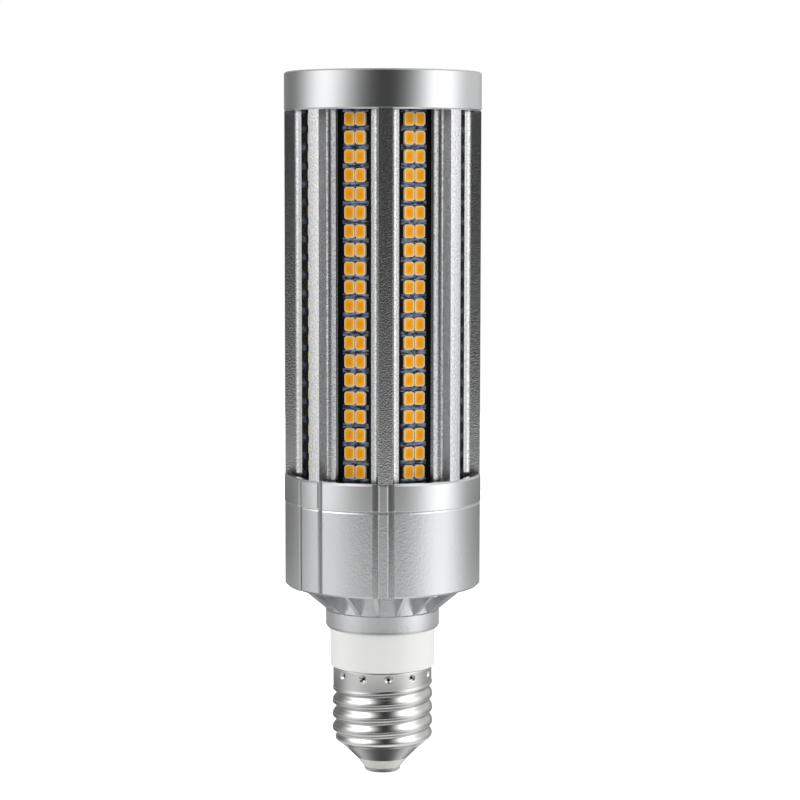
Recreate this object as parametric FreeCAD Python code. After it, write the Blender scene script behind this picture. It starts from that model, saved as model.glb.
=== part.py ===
"""Corn LED bulb with an E27 screw base, 184 mm tall and 52 mm across.

An extruded aluminium column with eight ribs carries eight strips of LEDs between
them. A turned cap closes its top. A die-cast cup with eighteen gussets holds it from
below and ends in a collar. A moulded inner cup lines the casting, carries the driver
and comes out of the collar as the white neck, on which the screw shell is crimped.

Millimetres, +Z up along the bulb. The origin is the face of the centre contact.
A feature is built on the -Y side, which is the front, and turned about Z from there.
"""

import FreeCAD
import Part
import math
import os

V = FreeCAD.Vector
UP = V(0, 0, 1)
ORIGIN = V(0, 0, 0)

# Lengths that stack up along the axis, from the contact's face
base_height = 28.5        # contact, insulator and screw shell
neck_height = 10.1
collar_height = 5.05
gusset_height = 6.55
cup_height = 21.95        # of the grooved cup, up to the line under the band
band_height = 7.35
column_height = 94.4      # between the band and the cap
cap_height = 10.0

# Extruded column, from the ribs inwards
rib_count = 8
rib_turn = 1.6            # degrees from the front to the first rib
rib_radius = 25.6
rib_width = 3.7
rib_edge = 0.1            # chamfer on the rib's outer corners
rib_fillet = 1.5          # radius of the hollow at the rib's foot
rib_height = 4.5          # from the flat ledge beside a channel to the rib's top
channel_width = 9.58
lip_thickness = 1.7
lip_edge = 0.2
board_play = 0.2          # around a board in its slot
column_wall = 2.3         # behind a board
spigot_length = 4.0       # turned end that goes into the cap or the housing
fit_clearance = 0.1

# LED boards and LEDs
board_width = 11.4
board_thickness = 1.0
board_overhang = 1.6      # past each end of the column
led_rows = 20
led_pitch = 4.72
led_width = 2.87
led_length = 3.5
led_height = 0.7
led_gap = 0.1             # between the two LEDs of a row

# Screw ports in the column, and the screws
port_ribs = (1, 3, 5, 7)
housing_port_ribs = (1, 5)
port_inset = 3.8          # from the ledges in to a port's centre
port_wall = 1.65
port_hole_radius = 1.25
port_slit_width = 1.3
screw_radius = 1.2
screw_play = 0.2
screw_bite = 7.0          # length of screw in the column
cap_screw_head = 1.5      # the head's radius past the shank's
housing_screw_head = 0.8
housing_screw_head_height = 1.6
cross_width = 0.7
cross_length = 2.6
cross_depth = 0.9

# Top cap
cap_proud = 0.05          # how far the cap stands out past the ribs
cap_plate = 1.8
cap_edge = 0.4
boss_radius = 2.2

# Die-cast housing
housing_proud = 0.07      # how far the housing stands out past the ribs
band_proud = 0.13         # and the band past the housing
band_groove = 0.35        # depth and half height of the line under the band
housing_wall = 2.4
rim_wall = 1.8
rim_depth = 5.5
housing_floor = 2.0
housing_edge = 0.5
collar_radius = 15.0
collar_wall = 0.95
collar_edge = 0.9
core_step = 0.2           # the core above the collar is this much smaller in radius
gusset_count = 18
gusset_turn = -4.6
gusset_thickness = 1.1
gusset_inset = 2.85       # from the housing's side in to a gusset's foot
groove_depth = 1.0
groove_edge = 0.3
narrow_groove_width = 1.4
tongue_turn = 0.4         # degrees from the front to the narrow tongue
tongue_width = 2.7
tongue_drop = 0.35        # the tongue ends this far below the housing's edge
tongue_thickness = 1.6
wide_groove_width = 1.0
strip_turn = -47.0
strip_width = 6.6
panel_sides = 2           # tongue and strip are repeated on the far side

# Inner cup, with the neck
cup_clearance = 0.2
cup_wall = 1.4
cup_floor = 1.5
neck_clearance = 0.1      # between the neck and the collar
neck_taper = 0.25
neck_wall = 1.7
neck_lip_height = 1.2
neck_lip = 0.12
spigot_wall = 1.4
spigot_bottom = 10.4
post_foot_radius = 3.4
board_rest = 2.3          # from the cup's floor up to the driver board
peg_radius = 1.8
peg_turns = (136.4, 316.4)

# Screw shell, E27
thread_pitch = 3.629
thread_radius = 12.7      # mean of crest and root
thread_depth = 1.04
thread_fade = 1.6         # length over which it runs out at either end
root_height = 17.42       # a root's height on the left side
skirt_height = 5.7
skirt_proud = 0.33        # of the skirt past the mean thread
mouth_height = 3.6        # from the contact's face to the shell's mouth
shell_mouth_radius = 6.95
shell_wall = 0.4          # at a root
cone_height = 5.2
cone_wall = 0.85
cone_inset = 0.95         # of the cone's top from the mean thread
shell_clearance = 0.15
punch_count = 12
punch_turn = 7.0
punch_drop = 1.9          # from the shell's top down to the punch marks
punch_radius = 0.8
punch_depth = 0.5
sections_per_turn = 8

# Insulator and centre contact
contact_radius = 4.7
contact_thickness = 1.0
contact_edge = 0.25
contact_stem_radius = 1.25
insulator_rim = 0.2       # of the insulator's foot past the contact
insulator_height = 2.9    # above the shell's mouth
stem_clearance = 0.05
stem_proud = 0.8          # of the stem above the insulator

# Driver: a component's turn from the front and its gap to the board's edge. One with a
# gap to the transformer's width or depth as well fills the space between the two.
driver_board_thickness = 1.6
driver_board_clearance = 0.4
can_edge = 0.5
transformer_width = 16.0
transformer_depth = 13.0
transformer_height = 13.0
core_leg = 4.0
winding_gap = 0.6
input_capacitor = {"turn": 286.3, "edge": 1.9, "gap": 1.35}
input_capacitor_headroom = 0.8    # below the LED boards' lower ends
output_capacitor = {"turn": 104.6, "edge": 3.3, "gap": 1.95, "height": 12.5}
filter_choke = {"turn": 0.0, "edge": 4.9, "gap": 1.85, "height": 9.0}
fuse = {"turn": 250.5, "edge": 5.2, "radius": 2.2, "height": 7.5}
film_capacitor = {"turn": 163.7, "edge": 3.2, "size": (12.5, 6.0, 10.5)}
bridge_rectifier = {"turn": 55.2, "edge": 6.5, "gap": 0.25, "width": 4.7, "height": 2.5}
driver_chip = {"edge": 4.6, "size": (5.0, 4.0, 1.6)}
driver_chip_gap = 0.9             # beside the film capacitor
lead_radius = 0.55
jumper_radius = 0.5
jumper_start = 2.0        # from the middle of a board to where a jumper is soldered
jumper_corner = 1.5       # from the board's edge to the jumper's corner

# Heights of the seams, from the contact's face
shell_bottom = mouth_height
cone_top = shell_bottom + cone_height
neck_bottom = base_height
skirt_bottom = neck_bottom - skirt_height
collar_bottom = neck_bottom + neck_height
collar_top = collar_bottom + collar_height
housing_bottom = collar_top + gusset_height
band_bottom = housing_bottom + cup_height
housing_top = band_bottom + band_height
cap_bottom = housing_top + column_height
cap_top = cap_bottom + cap_height

# Sizes that follow from the others
ledge_distance = rib_radius - rib_height
lip_underside = ledge_distance - lip_thickness
seat_distance = lip_underside - board_thickness - board_play
slot_width = board_width + 2 * board_play
column_bore_radius = seat_distance - column_wall
port_centre_radius = ledge_distance - port_inset
port_wall_radius = port_hole_radius + port_wall
screw_hole_radius = screw_radius + screw_play
cap_screw_head_radius = screw_radius + cap_screw_head
housing_screw_head_radius = screw_radius + housing_screw_head
cap_radius = rib_radius + cap_proud
housing_radius = rib_radius + housing_proud
band_radius = housing_radius + band_proud
gusset_radius = housing_radius - gusset_inset
bore_radius = collar_radius - collar_wall
neck_top_radius = bore_radius - neck_clearance
neck_foot_radius = neck_top_radius - neck_taper
shell_bore_radius = thread_radius - thread_depth / 2 - shell_wall
spigot_radius = shell_bore_radius - shell_clearance
skirt_radius = thread_radius + skirt_proud
cone_top_radius = thread_radius - cone_inset
punch_height = neck_bottom - punch_drop
insulator_foot_radius = contact_radius + insulator_rim


def turned(shape, degrees):
    """A copy of a shape turned about Z."""
    copy = shape.copy()
    copy.rotate(ORIGIN, UP, degrees)
    return copy


def at(turn, out, across=0.0, z=0.0):
    """The point a distance out from the axis and across, on the side at a turn from the front."""
    a = math.radians(turn)
    x = out * math.sin(a) + across * math.cos(a)
    y = -out * math.cos(a) + across * math.sin(a)
    return V(x, y, z)


def around(shape, count, start=0.0):
    """Copies of a shape evenly spaced about Z."""
    return [turned(shape, start + 360.0 * k / count) for k in range(count)]


def revolved(points):
    """The solid turned by a closed outline of (radius, height) points."""
    outline = [V(r, 0, z) for r, z in points]
    face = Part.Face(Part.makePolygon(outline + outline[:1]))
    return face.revolve(ORIGIN, UP, 360)


def cylinder(radius, low, high, centre=ORIGIN):
    """An upright cylinder between two heights."""
    return Part.makeCylinder(radius, high - low, V(centre.x, centre.y, low))


def block(x, y, z, centre, low):
    """An upright box on a height, centred on a point in plan."""
    return Part.makeBox(x, y, z, V(centre[0] - x / 2, centre[1] - y / 2, low))


def prism(points, low, high):
    """The upright solid over a closed outline of vectors."""
    outline = [V(p.x, p.y, low) for p in points]
    face = Part.Face(Part.makePolygon(outline + outline[:1]))
    return face.extrude(V(0, 0, high - low))


def tube(points, radius):
    """A round wire along straight runs joined by tangent arcs."""
    edges = []
    start = points[0]
    for before, corner, after in zip(points, points[1:], points[2:]):
        back = (before - corner).normalize()
        ahead = (after - corner).normalize()
        trim = 0.45 * min((before - corner).Length, (after - corner).Length)
        arc_start = corner + back * trim
        arc_end = corner + ahead * trim
        half_turn = (math.pi - back.getAngle(ahead)) / 2
        bend = trim / math.tan(half_turn)
        to_centre = (back + ahead).normalize()
        reach = bend / math.cos(half_turn) - bend
        edges.append(Part.LineSegment(start, arc_start).toShape())
        edges.append(Part.Arc(arc_start, corner + to_centre * reach, arc_end).toShape())
        start = arc_end
    edges.append(Part.LineSegment(start, points[-1]).toShape())
    path = Part.Wire(edges)
    along = points[1] - points[0]
    section = Part.Wire(Part.makeCircle(radius, points[0], along))
    return path.makePipeShell([section], True, True)


def rounded(before, corner, after, radius):
    """The start, middle and end of the arc that rounds a corner of an outline."""
    back = (before - corner).normalize()
    ahead = (after - corner).normalize()
    half = back.getAngle(ahead) / 2
    trim = radius / math.tan(half)
    reach = radius / math.sin(half) - radius
    return corner + back * trim, corner + (back + ahead).normalize() * reach, corner + ahead * trim


def face_turn(k):
    """Where the middle of channel k lies, in degrees from the front."""
    return rib_turn + (k + 0.5) * 360.0 / rib_count


def rib_turn_of(k):
    """Where rib k lies, in degrees from the front."""
    return rib_turn + k * 360.0 / rib_count


# Extruded column

column_low = housing_top - spigot_length
column_high = cap_bottom + spigot_length
rim_inner_radius = band_radius - rim_wall
column_spigot_radius = rim_inner_radius - fit_clearance


def column_outline():
    """The closed outer outline of the extrusion: eight ribs and eight lipped channels."""
    half_pitch = 180.0 / rib_count
    slant = math.radians(half_pitch)
    half_rib = rib_width / 2
    foot = (ledge_distance - half_rib * math.sin(slant)) / math.cos(slant)
    flat = half_rib - rib_edge
    shoulder = rib_radius - rib_edge
    crown = math.sqrt(rib_radius**2 - flat**2)
    edges = []
    for k in range(rib_count):
        rib = rib_turn_of(k)
        channel = face_turn(k)
        arc = Part.Arc(at(rib, crown, -flat), at(rib, rib_radius), at(rib, crown, flat))
        edges.append(arc.toShape())
        rib_side = at(rib, shoulder, half_rib)
        next_side = at(rib_turn_of(k + 1), shoulder, -half_rib)
        half = channel_width / 2
        ledge = at(channel, ledge_distance, -half - lip_edge)
        next_ledge = at(channel, ledge_distance, half + lip_edge)
        hollow = rounded(rib_side, at(rib, foot, half_rib), ledge, rib_fillet)
        next_hollow = rounded(next_ledge, at(rib_turn_of(k + 1), foot, -half_rib), next_side, rib_fillet)
        lips = [
            hollow[2],
            ledge,
            at(channel, ledge_distance - lip_edge, -half),
            at(channel, lip_underside, -half),
            at(channel, lip_underside, -slot_width / 2),
            at(channel, seat_distance, -slot_width / 2),
            at(channel, seat_distance, slot_width / 2),
            at(channel, lip_underside, slot_width / 2),
            at(channel, lip_underside, half),
            at(channel, ledge_distance - lip_edge, half),
            next_ledge,
            next_hollow[0],
        ]
        edges += Part.makePolygon([at(rib, crown, flat), rib_side, hollow[0]]).Edges
        edges.append(Part.Arc(*hollow).toShape())
        edges += Part.makePolygon(lips).Edges
        edges.append(Part.Arc(*next_hollow).toShape())
        edges += Part.makePolygon([next_hollow[2], next_side, at(rib_turn_of(k + 1), crown, -flat)]).Edges
    return Part.Wire(Part.__sortEdges__(edges))


def heat_sink():
    """The extrusion, with open screw ports in its bore and both ends turned down."""
    body = Part.Face(column_outline()).extrude(V(0, 0, column_high - column_low))
    body.translate(V(0, 0, column_low))
    body = body.cut(cylinder(column_bore_radius, column_low - 1, column_high + 1))
    within = cylinder(seat_distance, column_low, column_high)
    slit_end = port_centre_radius - port_wall_radius - 1
    for k in port_ribs:
        wall = cylinder(port_wall_radius, column_low, column_high, at(rib_turn_of(k), port_centre_radius))
        body = body.fuse(wall.common(within))
    for k in port_ribs:
        turn = rib_turn_of(k)
        half = port_slit_width / 2
        slit = prism([
            at(turn, slit_end, -half),
            at(turn, slit_end, half),
            at(turn, port_centre_radius, half),
            at(turn, port_centre_radius, -half),
        ], column_low - 1, column_high + 1)
        hole = cylinder(port_hole_radius, column_low - 1, column_high + 1, at(turn, port_centre_radius))
        body = body.cut(hole.fuse(slit))
    for low, high in ((column_low, housing_top), (cap_bottom, column_high)):
        ring = cylinder(rib_radius + 1, low, high).cut(cylinder(column_spigot_radius, low, high))
        body = body.cut(ring)
    return body.removeSplitter()


def led_board(k):
    """An aluminium-backed strip that slides in under the lips of channel k."""
    low = column_low - board_overhang
    high = column_high + board_overhang
    half = board_width / 2
    turn = face_turn(k)
    back = seat_distance
    front = back + board_thickness
    corners = [at(turn, back, -half), at(turn, back, half), at(turn, front, half), at(turn, front, -half)]
    return prism(corners, low, high)


def led_group(k):
    """The LEDs soldered on board k, two to a row."""
    middle = (housing_top + cap_bottom) / 2
    lowest = middle - (led_rows - 1) * led_pitch / 2
    front = seat_distance + board_thickness
    leds = []
    for row in range(led_rows):
        z = lowest + row * led_pitch - led_length / 2
        for side in (-1, 1):
            across = side * (led_width + led_gap) / 2
            led = Part.makeBox(led_width, led_height, led_length, V(across - led_width / 2, -front - led_height, z))
            leds.append(turned(led, face_turn(k)))
    return Part.makeCompound(leds)


# Top cap and its screws


def countersunk_screw(top, length):
    """A flat-head screw with a cross recess, its head's top at a height."""
    head_height = cap_screw_head_radius - screw_radius
    body = revolved([
        (0, top - length),
        (screw_radius, top - length),
        (screw_radius, top - head_height),
        (cap_screw_head_radius, top),
        (0, top),
    ])
    return body.cut(cross(top))


def cross(top):
    """The cross recess, cut down from a height."""
    bar = block(cross_length, cross_width, cross_depth, (0, 0), top - cross_depth)
    return bar.fuse(turned(bar, 90))


def top_cap():
    """A turned cup over the column's upper spigot, with a boss over each screw port."""
    inner = column_spigot_radius + fit_clearance
    ceiling = cap_top - cap_plate
    body = revolved([
        (inner, cap_bottom),
        (cap_radius - cap_edge, cap_bottom),
        (cap_radius, cap_bottom + cap_edge),
        (cap_radius, cap_top - cap_edge),
        (cap_radius - cap_edge, cap_top),
        (0, cap_top),
        (0, ceiling),
        (inner, ceiling),
    ])
    sink = revolved([
        (0, column_high - 1),
        (screw_hole_radius, column_high - 1),
        (screw_hole_radius, cap_top - cap_screw_head_radius + screw_hole_radius),
        (cap_screw_head_radius, cap_top),
        (0, cap_top),
    ])
    for k in port_ribs:
        centre = at(rib_turn_of(k), port_centre_radius)
        body = body.fuse(cylinder(boss_radius, column_high, ceiling, centre))
        body = body.cut(sink.translated(centre))
    return body.removeSplitter()


def cap_screws():
    """The four screws that hold the cap on the column."""
    length = cap_top - column_high + screw_bite
    screw = countersunk_screw(cap_top, length)
    return Part.makeCompound([screw.translated(at(rib_turn_of(k), port_centre_radius)) for k in port_ribs])


# Die-cast housing

floor_top = housing_bottom + housing_floor
housing_inner_radius = housing_radius - housing_wall


def groove_cutter(turn, across, width, low, high):
    """A straight upright groove with chamfered edges, cut into the housing's side."""
    deep = housing_radius - groove_depth
    edge = housing_radius - groove_edge
    proud = 1.0
    half = width / 2
    flare = half + groove_edge + proud
    points = [
        at(turn, deep, across - half),
        at(turn, deep, across + half),
        at(turn, edge, across + half),
        at(turn, edge + groove_edge + proud, across + flare),
        at(turn, edge + groove_edge + proud, across - flare),
        at(turn, edge, across - half),
    ]
    return prism(points, low, high)


def gusset(turn):
    """A triangular web from the core out to the housing's floor."""
    inside = bore_radius + collar_wall / 2
    outline = [
        V(0, -inside, collar_top),
        V(0, -collar_radius, collar_top),
        V(0, -gusset_radius, housing_bottom),
        V(0, -gusset_radius, housing_bottom + housing_floor / 2),
        V(0, -inside, housing_bottom + housing_floor / 2),
    ]
    face = Part.Face(Part.makePolygon(outline + outline[:1]))
    face.translate(V(-gusset_thickness / 2, 0, 0))
    return turned(face.extrude(V(gusset_thickness, 0, 0)), turn)


def tongue_end(turn):
    """The rounded end of the tongue, which hangs a little below the housing's edge."""
    half = tongue_width / 2
    low = housing_bottom - tongue_drop
    high = housing_bottom + housing_edge + half
    outer = math.sqrt(housing_radius**2 - half**2) - groove_edge / 2
    top = [V(-half, -outer, high), V(-half, -outer, low + half), V(0, -outer, low)]
    edges = [
        Part.LineSegment(top[0], top[1]).toShape(),
        Part.Arc(top[1], V(-half * math.sqrt(0.5), -outer, low + half * (1 - math.sqrt(0.5))), top[2]).toShape(),
        Part.Arc(top[2], V(half * math.sqrt(0.5), -outer, low + half * (1 - math.sqrt(0.5))), V(half, -outer, low + half)).toShape(),
        Part.LineSegment(V(half, -outer, low + half), V(half, -outer, high)).toShape(),
        Part.LineSegment(V(half, -outer, high), top[0]).toShape(),
    ]
    face = Part.Face(Part.Wire(edges))
    return turned(face.extrude(V(0, tongue_thickness, 0)), turn)


def lower_housing():
    """The casting: grooved cup with a bright band, floor, gussets, core and collar."""
    groove_line = band_radius - band_groove
    core_radius = collar_radius - core_step
    rim_low = housing_top - rim_depth
    body = revolved([
        (bore_radius, collar_bottom),
        (collar_radius - collar_edge, collar_bottom),
        (collar_radius - 0.3 * collar_edge, collar_bottom + 0.3 * collar_edge),
        (collar_radius, collar_bottom + collar_edge),
        (collar_radius, collar_top - core_step),
        (core_radius, collar_top),
        (core_radius, housing_bottom),
        (housing_radius - housing_edge, housing_bottom),
        (housing_radius, housing_bottom + housing_edge),
        (housing_radius, band_bottom - band_groove),
        (groove_line, band_bottom),
        (band_radius, band_bottom + band_groove),
        (band_radius, housing_top - housing_edge),
        (band_radius - housing_edge, housing_top),
        (rim_inner_radius, housing_top),
        (rim_inner_radius, rim_low),
        (housing_inner_radius, rim_low),
        (housing_inner_radius, floor_top),
        (bore_radius, floor_top),
    ])
    for turn in (gusset_turn + 360.0 * k / gusset_count for k in range(gusset_count)):
        body = body.fuse(gusset(turn))
    low = housing_bottom - 1
    high = housing_top + 1
    for side in range(panel_sides):
        half_turn = side * 360.0 / panel_sides
        for sign in (-1, 1):
            narrow = sign * (tongue_width + narrow_groove_width) / 2
            wide = sign * (strip_width + wide_groove_width) / 2
            tongue = tongue_turn + half_turn
            strip = strip_turn + half_turn
            wide_turn = strip + math.degrees(math.asin(wide / housing_radius))
            body = body.cut(groove_cutter(tongue, narrow, narrow_groove_width, low, high))
            body = body.cut(groove_cutter(wide_turn, 0, wide_groove_width, low, high))
        body = body.fuse(tongue_end(tongue_turn + half_turn))
    for k in housing_port_ribs:
        centre = at(rib_turn_of(k), port_centre_radius)
        body = body.cut(cylinder(screw_hole_radius, housing_bottom - 1, floor_top + 1, centre))
    return body.removeSplitter()


def housing_screws():
    """The two long screws that go up through the cup's posts into the column."""
    top = column_low + screw_bite
    head_low = housing_bottom - housing_screw_head_height
    screws = []
    for k in housing_port_ribs:
        shank = cylinder(screw_radius, housing_bottom, top)
        head = cylinder(housing_screw_head_radius, head_low, housing_bottom)
        head = head.cut(cross(head_low + cross_depth))
        screws.append(shank.fuse(head).removeSplitter().translated(at(rib_turn_of(k), port_centre_radius)))
    return Part.makeCompound(screws)


# Inner cup with the neck

cup_radius = housing_inner_radius - cup_clearance
cup_floor_low = floor_top
cup_floor_top = cup_floor_low + cup_floor
driver_low = cup_floor_top + board_rest
driver_top = driver_low + driver_board_thickness
cup_top = column_low - cup_clearance


def inner_cup():
    """The white moulding: lining cup, neck, and the spigot inside the screw shell."""
    neck_inner = neck_foot_radius - neck_wall
    body = revolved([
        (spigot_radius - spigot_wall, spigot_bottom),
        (spigot_radius, spigot_bottom),
        (spigot_radius, neck_bottom),
        (neck_foot_radius, neck_bottom),
        (neck_top_radius - neck_lip, collar_bottom - neck_lip_height),
        (neck_top_radius, collar_bottom - neck_lip_height),
        (neck_top_radius, cup_floor_low),
        (cup_radius, cup_floor_low),
        (cup_radius, cup_top),
        (cup_radius - cup_wall, cup_top),
        (cup_radius - cup_wall, cup_floor_top),
        (neck_inner, cup_floor_top),
        (neck_inner, neck_bottom + neck_wall),
        (spigot_radius - spigot_wall, neck_bottom),
    ])
    for k in housing_port_ribs:
        centre = at(rib_turn_of(k), port_centre_radius)
        post = cylinder(post_foot_radius, cup_floor_low, driver_low, centre)
        post = post.fuse(cylinder(boss_radius, cup_floor_low, column_low, centre))
        inside = cylinder(cup_radius - cup_wall / 2, cup_floor_low, column_low)
        body = body.fuse(post.common(inside))
        body = body.cut(cylinder(screw_hole_radius, cup_floor_low - 1, column_low + 1, centre))
    for turn in peg_turns:
        body = body.fuse(cylinder(peg_radius, cup_floor_low, driver_low, at(turn, port_centre_radius)))
    return body.removeSplitter()


# Screw shell, insulator and contact


def thread_section(z):
    """A level cut through the knuckle thread: a circle whose centre goes round the axis."""
    rise = min(max((z - cone_top) / thread_fade, 0.0), 1.0)
    fall = min(max((skirt_bottom - z) / thread_fade, 0.0), 1.0)
    crest_turn = 90.0 + 360.0 * (z - root_height) / thread_pitch
    centre = at(crest_turn, rise * fall * thread_depth / 2, z=z)
    radius = cone_top_radius + (thread_radius - cone_top_radius) * rise
    return Part.Wire(Part.makeCircle(radius, centre, UP))


def screw_shell():
    """The rolled shell: cone, right-handed thread and punched skirt, open at both ends."""
    turns = (skirt_bottom - cone_top) / thread_pitch
    count = int(round(turns * sections_per_turn))
    heights = [cone_top + (skirt_bottom - cone_top) * i / count for i in range(count + 1)]
    body = Part.makeLoft([thread_section(z) for z in heights], True, True)
    mouth = shell_mouth_radius - cone_wall
    slope = (cone_top_radius - shell_mouth_radius) / (cone_top - shell_bottom)
    bore_low = shell_bottom + (shell_bore_radius - mouth) / slope
    body = body.fuse(revolved([
        (0, shell_bottom),
        (shell_mouth_radius, shell_bottom),
        (cone_top_radius, cone_top),
        (0, cone_top),
    ]))
    body = body.fuse(cylinder(skirt_radius, skirt_bottom, neck_bottom))
    body = body.cut(revolved([
        (0, shell_bottom - 1),
        (mouth, shell_bottom - 1),
        (mouth, shell_bottom),
        (shell_bore_radius, bore_low),
        (shell_bore_radius, neck_bottom + 1),
        (0, neck_bottom + 1),
    ]))
    punch = Part.makeCylinder(punch_radius, 2, V(0, -skirt_radius + punch_depth, punch_height), V(0, -1, 0))
    for mark in around(punch, punch_count, punch_turn):
        body = body.cut(mark)
    return body


def base_insulator():
    """The white glass cone between the shell's mouth and the centre contact."""
    slope = (cone_top_radius - shell_mouth_radius) / (cone_top - shell_bottom)
    mouth = shell_mouth_radius - cone_wall
    top = shell_bottom + insulator_height
    hole = contact_stem_radius + stem_clearance
    return revolved([
        (hole, contact_thickness),
        (insulator_foot_radius, contact_thickness),
        (shell_mouth_radius - stem_clearance, shell_bottom),
        (mouth, shell_bottom),
        (mouth + slope * insulator_height, top),
        (hole, top),
    ])


def centre_contact():
    """The contact disc with its hollow stem, riveted through the insulator."""
    top = shell_bottom + insulator_height + stem_proud
    return revolved([
        (0, 0),
        (contact_radius - contact_edge, 0),
        (contact_radius, contact_edge),
        (contact_radius, contact_thickness),
        (contact_stem_radius, contact_thickness),
        (contact_stem_radius, top),
        (0, top),
    ])


# Driver

driver_board_radius = cup_radius - cup_wall - driver_board_clearance
post_hole_radius = boss_radius + driver_board_clearance


def space_for(part, transformer_reach):
    """How wide a component is that fills the space between the transformer and the edge."""
    return driver_board_radius - part["edge"] - part["gap"] - transformer_reach


input_capacitor["radius"] = space_for(input_capacitor, transformer_width / 2) / 2
input_capacitor["height"] = column_low - board_overhang - input_capacitor_headroom - driver_top
output_capacitor["radius"] = space_for(output_capacitor, transformer_width / 2) / 2
filter_choke["radius"] = space_for(filter_choke, transformer_depth / 2) / 2
bridge_rectifier["size"] = (
    bridge_rectifier["width"],
    space_for(bridge_rectifier, transformer_width / 2),
    bridge_rectifier["height"],
)
chip_shift = (film_capacitor["size"][0] + driver_chip["size"][0]) / 2 + driver_chip_gap
chip_distance = driver_board_radius - driver_chip["edge"] - driver_chip["size"][1] / 2
driver_chip["turn"] = film_capacitor["turn"] + math.degrees(2 * math.asin(chip_shift / chip_distance / 2))


def place_on_board(part, reach):
    """Where a component stands whose half width towards the board's edge is given."""
    return at(part["turn"], driver_board_radius - part["edge"] - reach)


def standing_can(part):
    """A round component that stands on the driver board."""
    body = cylinder(part["radius"], driver_top, driver_top + part["height"], place_on_board(part, part["radius"]))
    return body.makeChamfer(can_edge, [body.Edges[0]])


def flat_case(part):
    """A square-cornered component on the driver board."""
    x, y, z = part["size"]
    centre = place_on_board(part, y / 2)
    return block(x, y, z, (centre.x, centre.y), driver_top)


def driver_board():
    """A round board on the cup's posts and pegs."""
    body = cylinder(driver_board_radius, driver_low, driver_top)
    for k in housing_port_ribs:
        centre = at(rib_turn_of(k), port_centre_radius)
        body = body.cut(cylinder(post_hole_radius, driver_low - 1, driver_top + 1, centre))
    return body


def transformer_core():
    """Two ferrite halves round the winding, as one frame with two windows."""
    leg = core_leg
    body = block(transformer_width, leg + 1, transformer_height, (0, 0), driver_top)
    window = (transformer_width - 2 * leg) / 2 - leg / 4
    height = transformer_height - leg
    for side in (-1, 1):
        centre = (side * (leg / 2 + window / 2), 0)
        body = body.cut(block(window, transformer_depth, height, centre, driver_top + leg / 2))
    return body


def transformer_winding():
    """The taped winding on its bobbin, round the core's middle leg."""
    leg = core_leg
    window = (transformer_width - 2 * leg) / 2 - leg / 4
    width = leg + 2 * window - winding_gap
    height = transformer_height - leg - winding_gap
    low = driver_top + leg / 2 + winding_gap / 2
    body = block(width, transformer_depth, height, (0, 0), low)
    body = body.cut(block(leg, leg + 1, height, (0, 0), low))
    feet = []
    for side in (-1, 1):
        centre = (0, side * (transformer_depth / 2 - 1))
        feet.append(block(width, 2, low - driver_top, centre, driver_top))
    return body.fuse(feet).removeSplitter()


def live_lead():
    """The lead from the driver board down to the contact's stem."""
    stem_top = shell_bottom + insulator_height + stem_proud
    return tube([
        V(2.5, 0.5, driver_low),
        V(2.5, 0.5, 48.5),
        V(-1.5, 2.2, 40.5),
        V(-2.2, -0.8, 31.5),
        V(1.4, -0.6, 23.0),
        V(0, 0, 15.5),
        V(0, 0, stem_top),
    ], lead_radius)


def neutral_lead():
    """The lead from the driver board to the inside of the screw shell."""
    return tube([
        V(-5.0, -3.0, driver_low),
        V(-5.0, -3.0, 49.0),
        V(-7.5, -1.0, 41.5),
        V(-7.0, 1.4, 33.0),
        V(-8.6, 0.8, 24.5),
        V(-9.4, 0, 17.0),
        V(-8.9, 0, 11.0),
        V(-9.9, 0, 8.6),
    ], lead_radius)


def output_lead(k, start_out, swing):
    """The lead from the driver board up to the pad at the lower end of LED board k."""
    pad = seat_distance + board_thickness + lead_radius
    turn = face_turn(k)
    return tube([
        at(turn, start_out, swing, driver_top),
        at(turn, start_out, swing, driver_top + 4.5),
        at(turn, start_out + 1.6, swing * 0.4, driver_top + 9.5),
        at(turn, pad, 0, driver_top + 13.0),
        at(turn, pad, 0, column_low - 0.8),
    ], lead_radius)


def jumper(k, z):
    """The short wire between the ends of LED boards k and k + 1."""
    out = seat_distance + board_thickness + jumper_radius
    corner = board_width / 2 + jumper_corner
    return tube([
        at(face_turn(k), out, jumper_start, z),
        at(face_turn(k), out, corner, z),
        at(face_turn(k + 1), out, -corner, z),
        at(face_turn(k + 1), out, -jumper_start, z),
    ], jumper_radius)


def jumpers(first, z):
    """The wires that join every second pair of neighbouring boards."""
    return Part.makeCompound([jumper(k, z) for k in range(first, rib_count - 1, 2)])


pieces = {
    "heat_sink": heat_sink(),
    "top_cap": top_cap(),
    "cap_screws": cap_screws(),
    "lower_housing": lower_housing(),
    "housing_screws": housing_screws(),
    "inner_cup": inner_cup(),
    "screw_shell": screw_shell(),
    "base_insulator": base_insulator(),
    "centre_contact": centre_contact(),
    "driver_board": driver_board(),
    "transformer_core": transformer_core(),
    "transformer_winding": transformer_winding(),
    "input_capacitor": standing_can(input_capacitor),
    "output_capacitor": standing_can(output_capacitor),
    "film_capacitor": flat_case(film_capacitor),
    "filter_choke": standing_can(filter_choke),
    "bridge_rectifier": flat_case(bridge_rectifier),
    "driver_chip": flat_case(driver_chip),
    "fuse": standing_can(fuse),
    "live_lead": live_lead(),
    "neutral_lead": neutral_lead(),
    "positive_lead": output_lead(0, 15.0, 1.5),
    "negative_lead": output_lead(rib_count - 1, 15.4, -1.2),
    "top_jumpers": jumpers(0, column_high + board_overhang / 2),
    "bottom_jumpers": jumpers(1, column_low - board_overhang / 2),
}
for k in range(rib_count):
    pieces[f"led_board_{k + 1}"] = led_board(k)
    pieces[f"leds_{k + 1}"] = led_group(k)

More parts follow.
